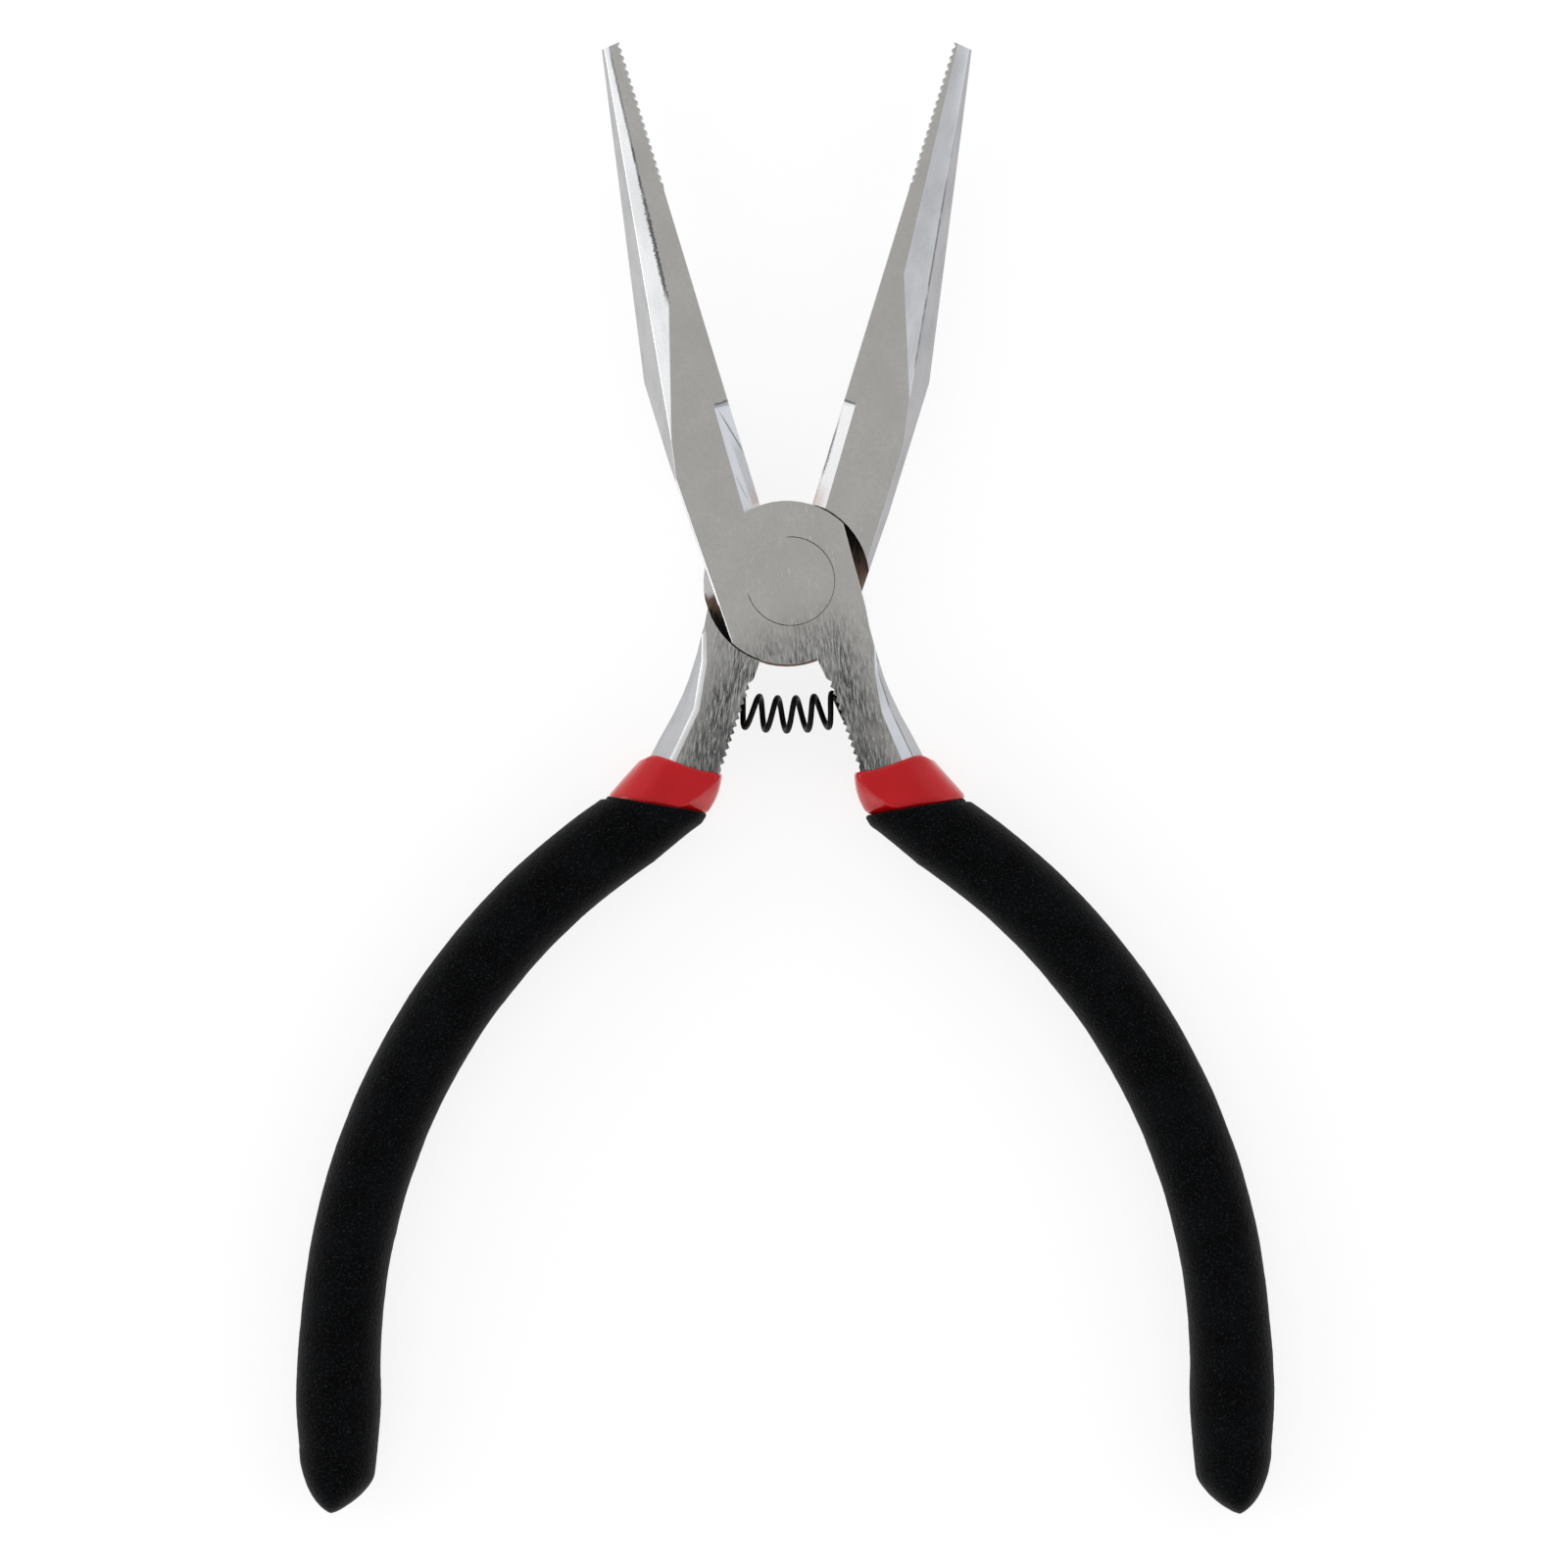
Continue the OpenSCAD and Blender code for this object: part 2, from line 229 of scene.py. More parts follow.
def line_mask(tree, place, start, end, width, ragged):
    """1 on the line between two points of XY, its sides made ragged by noise."""
    start, end = Vector(start), Vector(end)
    along = (end - start).normalized()
    across = Vector((along.y, -along.x))

    def distance(direction):
        """How far the place lies from the start in a direction."""
        inputs = {0: place, 1: (direction.x, direction.y, 0)}
        dot = node(tree, "ShaderNodeVectorMath", inputs, operation="DOT_PRODUCT").outputs["Value"]
        return calc(tree, "SUBTRACT", dot, start.dot(direction))

    wobble = grain(tree, place, (1.0, 6.0, 1.0), 3.0, 0.7)
    off = calc(tree, "MULTIPLY_ADD", calc(tree, "SUBTRACT", wobble, 0.5), ragged, distance(across))
    inside = mask(tree, calc(tree, "ABSOLUTE", off), width, 0.5 * width)
    far = distance(along)
    length = (end - start).length
    return times(tree, inside, mask(tree, far, 0.0, 2.5), mask(tree, far, length, length - 1.5))


# ---------------------------------------------------------------- materials

# Lines of dark grinding dirt beside the jaws' bevels, in the closed frame
FRONT_LINE = ((-3.2, 30.0), (-1.2, 57.5))
BACK_LINE = ((-6.1, 23.8), (-1.65, 57.7))

# Colours, as linear red, green, blue and alpha
GROUND_DIM = (0.565, 0.553, 0.528, 1)
GROUND_PALE = (0.625, 0.612, 0.585, 1)
GROUND_MOTTLE = (0.53, 0.52, 0.50, 1)
GROUND_HAIR = (0.46, 0.46, 0.455, 1)
GROUND_NICK = (0.80, 0.80, 0.79, 1)
STREAK_DARK = (0.060, 0.066, 0.070, 1)
STREAK_LIGHT = (0.64, 0.65, 0.65, 1)
LINE_ON_FLAT = (0.07, 0.075, 0.08, 1)
LINE_ON_BEVEL = (0.06, 0.065, 0.07, 1)
WALL_SHADE_DARK = (0.12, 0.13, 0.14, 1)
CUTTER_LIT_WHITE = (0.97, 0.97, 0.975, 1)
CUTTER_LIT_GREY = (0.90, 0.90, 0.91, 1)
CUTTER_BLUE_REFLECTION = (0.58, 0.61, 0.66, 1)
CUTTER_SKY_REFLECTION = (0.68, 0.71, 0.75, 1)
CUTTER_PINK = (0.66, 0.52, 0.47, 1)
CUTTER_DARK_LINE = (0.05, 0.05, 0.06, 1)
CUTTER_END_SHADE = (0.20, 0.21, 0.23, 1)
OXIDE_AND_SHADE_BLACK = (0.008, 0.007, 0.006, 1)
OXIDE_UMBER = (0.05, 0.03, 0.02, 1)
OXIDE_BROWN_LIT = (0.17, 0.105, 0.07, 1)
OXIDE_RIM = (0.30, 0.19, 0.15, 1)
GLINT_WARM = (0.45, 0.38, 0.32, 1)
WAIST_LIGHT_SILVER = (0.80, 0.78, 0.77, 1)
TOOTH_PALE = (0.52, 0.51, 0.50, 1)
TOOTH_GREY = (0.34, 0.335, 0.33, 1)
RUST_PALE = (0.55, 0.44, 0.41, 1)
RUST_DARK = (0.10, 0.055, 0.05, 1)
VINYL_DEEP = (0.44, 0.001, 0.003, 1)
VINYL_BRIGHT = (0.56, 0.004, 0.009, 1)
FOAM_DEEP = (0.0004, 0.0005, 0.0006, 1)
FOAM_GREY = (0.0020, 0.0023, 0.0028, 1)
FOAM_SPECK = (0.017, 0.018, 0.020, 1)
WIRE_BLACK = (0.003, 0.002, 0.002, 1)
WIRE_WORN = (0.020, 0.013, 0.012, 1)
FLOOR_DIM = (0.26, 0.26, 0.26, 1)
FLOOR_PALE = (0.28, 0.28, 0.28, 1)
TENT_TOP = (0.58, 0.58, 0.58, 1)
TENT_SIDE = (0.95, 0.96, 0.98, 1)


def jaw_line(tree, place, back):
    """Where dirt lies beside the bevel of the front jaw, or on the ridge of the back one."""
    y = node(tree, "ShaderNodeSeparateXYZ", {0: place}).outputs["Y"]
    if back:
        patches = mask(tree, grain(tree, place, (0.35, 0.35, 0.1)), 0.42, 0.60)
        strength = calc(tree, "MULTIPLY_ADD", patches, 0.45, 0.30)
        strength = times(tree, strength, mask(tree, y, 52.0, 40.0))
        return times(tree, line_mask(tree, place, *BACK_LINE, width=0.11, ragged=0.05), strength)
    wide = line_mask(tree, place, *FRONT_LINE, width=0.26, ragged=0.85)
    wide = times(tree, wide, mask(tree, y, 46.0, 38.0))
    thin = line_mask(tree, place, *FRONT_LINE, width=0.15, ragged=0.28)
    patches = mask(tree, grain(tree, place, (0.9, 0.7, 0.1)), 0.34, 0.55)
    kept = calc(tree, "MULTIPLY_ADD", times(tree, patches, mask(tree, y, 56.0, 46.0)), 0.35, 0.55)
    return calc(tree, "MAXIMUM", times(tree, wide, 0.85), times(tree, thin, kept))


def ground_flat(name, back):
    """Belt-ground face: smooth along the jaw, with dark streaks that grow towards the handle."""
    material, tree, shader = new_material(name)
    place = closed_mm(tree, back)
    split = node(tree, "ShaderNodeSeparateXYZ", {0: place})
    x, y = split.outputs["X"], split.outputs["Y"]
    turn = -OPEN_HALF if back else OPEN_HALF
    ground = own_mm(tree, 0.45 * turn)
    hair = grain(tree, place, (8.0, 0.9, 2.0), 3.0, 0.6)
    streak = grain(tree, ground, (6.0, 0.75, 2.0), 3.0, 0.66)
    blotch = grain(tree, ground, (0.6, 0.35, 1.0), 2.0, 0.5)
    cloud = grain(tree, place, (0.30, 0.20, 0.3), 3.0, 0.55)
    mottle = grain(tree, place, (3.5, 2.5, 3.0), 3.0, 0.6)
    tone = mix(tree, mask(tree, cloud, 0.25, 0.75), GROUND_DIM, GROUND_PALE)
    tone = mix(tree, times(tree, mask(tree, mottle, 0.40, 0.65), 0.5), tone, GROUND_MOTTLE)
    tone = mix(tree, times(tree, mask(tree, hair, 0.45, 0.75), 0.22), tone, GROUND_HAIR)
    # wear from the belt: heavier towards the handle and on the inner side of the tang
    inner = mask(tree, x, 6.2, 2.6)
    worn = times(tree, mask(tree, y, -1.5, -10.0), calc(tree, "MULTIPLY_ADD", inner, 0.75, 0.25))
    darkening = calc(tree, "MULTIPLY_ADD", mask(tree, y, -9.0, -20.0), -0.25, -0.30)
    tone = scaled_tone(tree, tone, calc(tree, "MULTIPLY_ADD", worn, darkening, 1.0))
    patchy = mask(tree, blotch, 0.20, 0.60)
    dark = times(tree, mask(tree, streak, 0.45, 0.58), worn, patchy)
    tone = mix(tree, times(tree, dark, 0.9), tone, STREAK_DARK)
    light = times(tree, mask(tree, streak, 0.44, 0.35), worn)
    tone = mix(tree, times(tree, light, 0.7), tone, STREAK_LIGHT)
    # a few bright nicks above and below the rivet
    nick = times(tree, mask(tree, grain(tree, ground, (6.5, 0.9, 1.0), 1.0), 0.69, 0.76),
                 mask(tree, y, 11.0, 7.0))
    tone = mix(tree, times(tree, nick, 0.6), tone, GROUND_NICK)
    tone = mix(tree, jaw_line(tree, place, back), tone, LINE_ON_FLAT)
    # painted shade against the wall at the cutter's far end
    tone = mix(tree, times(tree, wall_shade(tree, x, y, back), 0.7), tone, WALL_SHADE_DARK)
    height = calc(tree, "MULTIPLY_ADD", dark, -0.6, hair)
    set_shader(tree, shader, Base_Color=tone, Metallic=1.0,
               Roughness=calc(tree, "MULTIPLY_ADD", hair, 0.16, 0.28),
               Normal=bump(tree, height, 0.005 * MM))
    return material


def wall_shade(tree, x, y, back):
    """Painted shade in a thin ragged band against the wall at the far end of a cutter."""
    place = node(tree, "ShaderNodeCombineXYZ", {0: x, 1: y}).outputs[0]
    shade_wobble = grain(tree, place, (2.5, 5.0, 1.0))
    shade_top = calc(tree, "MULTIPLY_ADD", shade_wobble, 0.35, 19.33)
    above = mask(tree, y, 19.0, 19.25)
    below = mask(tree, calc(tree, "SUBTRACT", y, shade_top), 0.10, -0.05)
    outer_end = (-1.35, -1.2) if back else (-1.75, -1.55)
    return times(tree, below, above, mask(tree, x, *outer_end))


def polished_bevel(name, back, jaw_tone_and_light, tang_tone_and_light, root_painted_light=1.0, tip_painted_light=1.0):
    """Finer ground bevel: bright, with faint hairlines along the half.

    Each colour given is the steel's own tone with painted light and shade, lighter or darker on each
    half by how light falls on it, and the gains paint the jaw lighter or darker at its root and at its
    tip.
    """
    material, tree, shader = new_material(name)
    place = closed_mm(tree, back)
    hair = grain(tree, place, (7.0, 0.5, 7.0), 3.0, 0.6)
    cloud = grain(tree, place, (0.5, 0.2, 0.5), 2.0)
    split = node(tree, "ShaderNodeSeparateXYZ", {0: place})
    # painted light: these colours and gains make the face lighter or darker by how light falls on it
    painted_light_gain = calc(tree, "MULTIPLY_ADD", mask(tree, split.outputs["Y"], 26.0, 54.0),
                tip_painted_light - root_painted_light, root_painted_light)
    tone = scaled_tone(tree, jaw_tone_and_light, painted_light_gain)
    tone = mix(tree, mask(tree, split.outputs["Y"], -2.0, -6.0), tone, tang_tone_and_light + (1,))
    dull = calc(tree, "MULTIPLY_ADD", mask(tree, cloud, 0.35, 0.7), -0.12, 1.0)
    dull = calc(tree, "MULTIPLY_ADD", mask(tree, hair, 0.52, 0.75), -0.12, dull)
    tone = scaled_tone(tree, tone, dull)
    dirt = jaw_line(tree, place, back)
    if not back:
        # the same dirt along the front tang's outer strip
        tang_line = line_mask(tree, place, (6.15, -10.5), (6.25, -16.0), width=0.10, ragged=0.06)
        lower_line = line_mask(tree, place, (6.15, -14.8), (7.2, -22.0), width=0.10, ragged=0.06)
        tang_dirt = times(tree, calc(tree, "MAXIMUM", tang_line, lower_line), 0.6)
        dirt = calc(tree, "MAXIMUM", dirt, tang_dirt)
    tone = mix(tree, dirt, tone, LINE_ON_BEVEL)
    set_shader(tree, shader, Base_Color=tone, Metallic=1.0,
               Roughness=calc(tree, "MULTIPLY_ADD", hair, 0.14, 0.20),
               Normal=bump(tree, hair, 0.0015 * MM))
    return material


def cutter_face(name, back):
    """Ground face of the cutter, painted white on the back half and bluish on the front one as
    reflected light, with dark lines, painted shade at its far end and a pink heat tint below.
    """
    material, tree, shader = new_material(name)
    place = closed_mm(tree, back)
    split = node(tree, "ShaderNodeSeparateXYZ", {0: place})
    x, y = split.outputs["X"], split.outputs["Y"]
    hair = grain(tree, place, (6.0, 0.7, 6.0), 3.0, 0.6)
    # painted reflection: the same steel white on the back half and bluish on the front one
    if back:
        tone = mix(tree, hair, CUTTER_LIT_WHITE, CUTTER_LIT_GREY)
        # painted shadow: a dark wavy line cast by the uneven cutting edge
        dark_lines = line_mask(tree, place, (-0.16, 18.0), (-0.26, 11.0), width=0.13, ragged=0.40)
    else:
        tone = mix(tree, hair, CUTTER_BLUE_REFLECTION, CUTTER_SKY_REFLECTION)
        long_one = line_mask(tree, place, (-1.6, 19.4), (-0.15, 13.6), width=0.10, ragged=0.08)
        short_one = line_mask(tree, place, (-1.85, 12.6), (-1.2, 8.6), width=0.09, ragged=0.10)
        dark_lines = calc(tree, "MAXIMUM", long_one, times(tree, short_one, 0.5))
    heat = times(tree, mask(tree, y, 11.5, 9.0), mask(tree, x, -1.6, -0.5), 0.7)
    tone = mix(tree, heat, tone, CUTTER_PINK)
    # dark lines: a painted shadow on the back face, two thin dark lines on the front one
    tone = mix(tree, times(tree, dark_lines, 0.85), tone, CUTTER_DARK_LINE)
    # painted shade: the face darkens against the wall at the cutter's far end
    far_end_shade = times(tree, mask(tree, y, 18.9, 19.25), 0.15 if back else 0.7)
    tone = mix(tree, far_end_shade, tone, CUTTER_END_SHADE)
    set_shader(tree, shader, Base_Color=tone, Metallic=1.0,
               Roughness=calc(tree, "MULTIPLY_ADD", hair, 0.14, 0.22),
               Normal=bump(tree, hair, 0.003 * MM))
    return material


def dark_oxide(name):
    """Unground steel inside the joint: black scale, painted lighter to brown and silver where light
    reaches in at the open waist; the black deeper in the gaps is scale and painted shade.
    """
    material, tree, shader = new_material(name)
    place = own_mm(tree)
    split = node(tree, "ShaderNodeSeparateXYZ", {0: place})
    x, y = split.outputs["X"], split.outputs["Y"]
    patch = grain(tree, place, (0.55, 0.55, 0.55), 5.0, 0.6)
    fine = grain(tree, place, (5.0, 5.0, 5.0), 3.0)
    drawn = grain(tree, place, (3.2, 0.5, 1.0), 3.0, 0.6)
    wave = calc(tree, "MULTIPLY_ADD", drawn, 6.0, -3.0)
    height = calc(tree, "ADD", y, wave)
    left = mask(tree, x, 0.5, -0.5)
    right = mask(tree, x, -0.5, 0.5)
    # painted light and shade: brown and silver towards the open waist, black deeper in the gaps
    lit_brown_left = times(tree, left, mask(tree, height, -3.4, -1.9))
    lit_brown_right = times(tree, right, mask(tree, height, 3.6, 1.2), mask(tree, y, -6.0, -2.0))
    waist_light = times(tree, left, mask(tree, calc(tree, "MULTIPLY_ADD", wave, 0.3, y), -1.7, -0.9))
    # glint: a painted highlight on the right side near the waist
    glint = times(tree, right, mask(tree, height, 1.0, -0.8), mask(tree, y, -6.0, -2.0))
    tone = mix(tree, mask(tree, patch, 0.5, 0.75), OXIDE_AND_SHADE_BLACK, OXIDE_UMBER)
    tone = mix(tree, calc(tree, "ADD", lit_brown_left, lit_brown_right), tone, OXIDE_BROWN_LIT)
    tone = mix(tree, times(tree, glint, 0.4), tone, GLINT_WARM)
    tone = mix(tree, waist_light, tone, WAIST_LIGHT_SILVER)
    flattened = node(tree, "ShaderNodeVectorMath", {0: place, 1: (1, 1, 0)}, operation="MULTIPLY")
    radius = node(tree, "ShaderNodeVectorMath", {0: flattened.outputs[0]}, operation="LENGTH")
    rim = times(tree, mask(tree, radius.outputs["Value"], 8.0, 8.2), mask(tree, y, -5.5, -7.0))
    tone = mix(tree, rim, tone, OXIDE_RIM)
    shine = calc(tree, "MAXIMUM", waist_light, glint)
    set_shader(tree, shader, Base_Color=tone, Metallic=calc(tree, "MULTIPLY_ADD", shine, 0.6, 0.35),
               Roughness=calc(tree, "MULTIPLY_ADD", fine, 0.3, 0.35),
               Normal=bump(tree, fine, 0.02 * MM))
    return material


def milled_teeth(name, back):
    """Cut teeth: mottled grey, with pale and dark rust on the tang's teeth, less on the back half."""
    material, tree, shader = new_material(name)
    place = closed_mm(tree, back)
    y = node(tree, "ShaderNodeSeparateXYZ", {0: place}).outputs["Y"]
    patch = grain(tree, place, (1.4, 1.4, 1.4), 4.0, 0.6)
    fine = grain(tree, place, (6.0, 6.0, 6.0), 2.0)
    tang = times(tree, mask(tree, y, -5.0, -8.0), 0.35 if back else 1.0)
    tone = mix(tree, mask(tree, patch, 0.4, 0.6), TOOTH_PALE, TOOTH_GREY)
    rust = mix(tree, mask(tree, patch, 0.42, 0.55), RUST_PALE, RUST_DARK)
    tone = mix(tree, tang, tone, rust)
    set_shader(tree, shader, Base_Color=tone, Metallic=0.9,
               Roughness=calc(tree, "MULTIPLY_ADD", fine, 0.3, 0.25),
               Normal=bump(tree, fine, 0.01 * MM))
    return material


def red_vinyl():
    """Dipped vinyl: glossy, with faint runs and clouding."""
    material, tree, shader = new_material("sleeve_vinyl")
    place = own_mm(tree)
    cloud = grain(tree, place, (0.35, 0.35, 0.35), 3.0, 0.5)
    dip = grain(tree, place, (0.8, 0.3, 0.8), 2.0, 0.5)
    speck = grain(tree, place, (9.0, 9.0, 9.0), 2.0)
    tone = mix(tree, cloud, VINYL_DEEP, VINYL_BRIGHT)
    set_shader(tree, shader, Base_Color=tone,
               Roughness=calc(tree, "MULTIPLY_ADD", speck, 0.08, 0.14),
               Normal=bump(tree, dip, 0.06 * MM, below=bump(tree, speck, 0.002 * MM)),
               Specular_IOR_Level=0.34)
    return material


def black_foam():
    """Closed-cell foam: near black, with a pebbled skin and a soft sheen."""
    material, tree, shader = new_material("grip_foam")
    place = own_mm(tree)
    cloud = grain(tree, place, (0.25, 0.25, 0.25), 3.0, 0.6)
    cell = node(tree, "ShaderNodeTexVoronoi", {"Vector": place, "Scale": 3.2}, feature="SMOOTH_F1")
    pebble = cell.outputs["Distance"]
    fine = grain(tree, place, (4.5, 4.5, 4.5), 3.0, 0.65)
    tone = mix(tree, mask(tree, cloud, 0.35, 0.7), FOAM_DEEP, FOAM_GREY)
    tone = mix(tree, mask(tree, fine, 0.52, 0.72), tone, FOAM_SPECK)
    height = calc(tree, "MULTIPLY_ADD", fine, 0.6, pebble)
    set_shader(tree, shader, Base_Color=tone,
               Roughness=calc(tree, "MULTIPLY_ADD", fine, 0.2, 0.55),
               Normal=bump(tree, height, 0.10 * MM), Specular_IOR_Level=0.035,
               Sheen_Weight=0.05, Sheen_Roughness=0.4)
    return material


def black_wire():
    """Blackened spring wire, a little worn along its turns."""
    material, tree, shader = new_material("blackened_wire")
    place = own_mm(tree)
    patch = grain(tree, place, (1.5, 1.5, 1.5), 3.0, 0.6)
    tone = mix(tree, mask(tree, patch, 0.5, 0.75), WIRE_BLACK, WIRE_WORN)
    set_shader(tree, shader, Base_Color=tone, Specular_IOR_Level=0.12,
               Roughness=calc(tree, "MULTIPLY_ADD", patch, 0.2, 0.35),
               Normal=bump(tree, patch, 0.01 * MM))
    return material


def pale_floor():
    """Plain matt light table: most of its light comes from below, so shadows on it are weak."""
    material, tree, shader = new_material("pale_floor")
    speck = grain(tree, own_mm(tree), (0.02, 0.02, 0.02), 2.0)
    tone = mix(tree, speck, FLOOR_DIM, FLOOR_PALE)
    set_shader(tree, shader, Base_Color=tone, Roughness=0.9, Specular_IOR_Level=0.1,
               Emission_Color=(1, 1, 1, 1), Emission_Strength=0.80)
    return material


# ---------------------------------------------------------------- steel pieces

# Finishes of a forging's faces, as numbers of its materials, and the mark for leaving them alone
FLAT, BEVEL, FACET, SIDE, SCALE, TEETH, CUTTER = range(7)
UNCHANGED = -1


def steel_class(normal, middle, pocket_r):
    """Which finish a face of a half has, from its normal and middle in the closed frame.

    The other half's lap turns in a pocket of radius pocket_r, which is left unground.
    """
    level = abs(normal.z)
    from_pivot = math.hypot(middle.x, middle.y)
    lap_face = abs(middle.z) < 1.0 and level > 0.9 and from_pivot < pocket_r
    pocket_wall = level < 0.1 and middle.z < 0 and abs(from_pivot - pocket_r) < 0.2
    rivet_hole = from_pivot < HOLE_R and level < 0.95
    spring_seat = math.hypot(middle.y - SEAT_Y, middle.z) < SEAT_R and abs(middle.x) < SEAT_X
    if lap_face or pocket_wall or rivet_hole or spring_seat:
        return SCALE
    if CUTTER_Y[0] < middle.y < CUTTER_Y[1] and middle.x > CUTTER_X and 0.1 < level < 0.9:
        return CUTTER
    near_edge = middle.x > JAW_TEETH_X if middle.y > 0 else middle.x < TANG_TEETH_X
    if near_edge and level < 0.3 and abs(normal.y) > 0.2:
        return TEETH
    if level > 0.985:
        return FLAT
    if level > 0.75:
        return BEVEL
    return FACET if level > 0.2 else SIDE


def clean_copy(node_name, merge):
    """The CAD node's mesh, its vertices merged within some millimetres and its flat faces whole."""
    same_place = 0.002 * MM
    same_plane = math.radians(0.4)
    bm = bmesh.new()
    bm.from_mesh(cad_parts[node_name].data)
    bmesh.ops.remove_doubles(bm, verts=bm.verts, dist=same_place)
    bmesh.ops.dissolve_limit(bm, angle_limit=same_plane, verts=bm.verts, edges=bm.edges)
    bmesh.ops.remove_doubles(bm, verts=bm.verts, dist=merge * MM)
    return bm


def round_edges(bm, edges, width, finish, segments=2):
    """Rounds edges by a width in millimetres, or chamfers them if there is one segment.

    The new faces get the finish, or with UNCHANGED that of their neighbours.
    """
    bmesh.ops.bevel(bm, geom=edges, offset=width * MM, segments=segments, profile=0.5,
                    affect="EDGES", clamp_overlap=False, material=finish)


def edges_between(bm, finishes, shortest, least_turn=14.0):
    """Edges between faces of these finishes, longer and sharper than some millimetres and degrees."""
    chosen = []
    for edge in bm.edges:
        kinds = {face.material_index for face in edge.link_faces}
        if kinds <= finishes and edge.calc_length() > shortest * MM:
            if edge.calc_face_angle(0) > math.radians(least_turn):
                chosen.append(edge)
    return chosen


def lengthen_tang(bm, to_closed):
    """Moves the tang's outer end and the shank's shoulder further into the sleeve."""
    out_of = to_closed.inverted().to_3x3()
    tang_end, end_move = -21.6, Vector((0.05, -0.7, 0))
    shoulder, shoulder_move = -20.6, Vector((0.2, -1.5, 0))
    nearness, outer_part = 0.05, 4.5
    for vert in bm.verts:
        place = to_closed @ vert.co
        if place.x > outer_part and abs(place.y - tang_end) < nearness:
            vert.co += out_of @ end_move
        elif place.x > outer_part and abs(place.y - shoulder) < nearness:
            vert.co += out_of @ shoulder_move


def widen_tang_strip(bm, to_closed, by, lower):
    """Widens the strip along the tang's outer side inwards, and lowers its outer line."""
    inner, outer = set(), set()
    for edge in bm.edges:
        kinds = {face.material_index for face in edge.link_faces}
        if BEVEL in kinds and all((to_closed @ v.co).y < TANG_Y for v in edge.verts):
            if FLAT in kinds:
                inner.update(edge.verts)
            elif FACET in kinds:
                outer.update(edge.verts)
    out_of = to_closed.inverted().to_3x3()
    for vert in inner:
        vert.co += out_of @ Vector((-by, 0, 0))
    for vert in outer - inner:
        side = 1 if (to_closed @ vert.co).z > 0 else -1
        vert.co += out_of @ Vector((0, 0, -side * lower))


def finish_mesh(bm, name, materials, sharp=30.0, crease=None):
    """Turns a bmesh into a smooth-shaded piece, sharp where faces meet at more than an angle.

    Faces that both have the crease material are kept apart even where they meet at less.
    """
    least_crease = 1.5
    for face in bm.faces:
        face.smooth = True
    for edge in bm.edges:
        angle = math.degrees(edge.calc_face_angle(0))
        both = all(face.material_index == crease for face in edge.link_faces)
        edge.smooth = angle < (least_crease if both else sharp)
    mesh = bpy.data.meshes.new(name)
    bm.to_mesh(mesh)
    bm.free()
    for material in materials:
        mesh.materials.append(material)
    piece = bpy.data.objects.new(name, mesh)
    bpy.context.scene.collection.objects.link(piece)
    weighted = piece.modifiers.new("even_flats", "WEIGHTED_NORMAL")
    weighted.keep_sharp = True
    weighted.weight = 100
    return piece


def forged_half(node_name, name, back, materials):
    """One forging, with a finish for each kind of face and its edges broken."""
    to_closed = closed_frame(back).inverted()
    pocket_r = 8.45 if back else 8.65
    bm = clean_copy(node_name, 0.12)
    for face in bm.faces:
        normal = (to_closed.to_3x3() @ face.normal).normalized()
        face.material_index = steel_class(normal, to_closed @ face.calc_center_median(), pocket_r)
    if back:
        lengthen_tang(bm, to_closed)
        widen_tang_strip(bm, to_closed, by=0.3, lower=0.12)
    # the long outer edges beside the joint are broken wider than the rest
    long_edges = []
    for edge in edges_between(bm, {FLAT, SIDE}, 2.0):
        middle = to_closed @ ((edge.verts[0].co + edge.verts[1].co) / 2)
        if middle.x < OUTER_X and middle.y > TANG_Y:
            long_edges.append(edge)
    chamfer, chamfer_finish = (0.62, FACET) if back else (0.15, SIDE)
    round_edges(bm, long_edges, chamfer, chamfer_finish, segments=1)
    outlines = edges_between(bm, {FLAT, BEVEL, FACET, SIDE}, 0.3, least_turn=24.0)
    round_edges(bm, outlines, 0.05, UNCHANGED)
    piece = finish_mesh(bm, name, materials, crease=FLAT)
    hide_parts(node_name)
    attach(piece, "back" if back else "front")


def rivet(flat, scale):
    """The rivet, its two flush heads with a broken rim."""
    ground, inside = 0, 1
    within_rims = 4 * MM
    bm = clean_copy("pivot_rivet", 0.002)
    for face in bm.faces:
        face.material_index = ground if abs(face.normal.z) > 0.95 else inside
    rims = []
    for edge in bm.edges:
        kinds = {face.material_index for face in edge.link_faces}
        middle = (edge.verts[0].co + edge.verts[1].co) / 2
        if kinds == {ground, inside} and math.hypot(middle.x, middle.y) > within_rims:
            rims.append(edge)
    round_edges(bm, rims, 0.035, inside)
    piece = finish_mesh(bm, "rivet_ground", [flat, scale])
    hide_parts("pivot_rivet")
    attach(piece, "front")


def steel_materials(side, back, tones_and_painted_light, scale):
    """Materials of one half, in the order of the finishes.

    A tint is a pair for the jaw and the tang, the steel's tone with painted light and shade, and the
    gains are the bevel's painted light.
    """
    side_tint = ((0.76, 0.76, 0.76), (0.70, 0.70, 0.70))
    return [ground_flat(side + "_flat", back),
            polished_bevel(side + "_bevel", back, *tones_and_painted_light["bevel"], *tones_and_painted_light["gains"]),
            polished_bevel(side + "_facet", back, *tones_and_painted_light["facet"]),
            polished_bevel(side + "_side", back, *side_tint),
            scale,
            milled_teeth(side + "_teeth", back),
            cutter_face(side + "_cutter", back)]


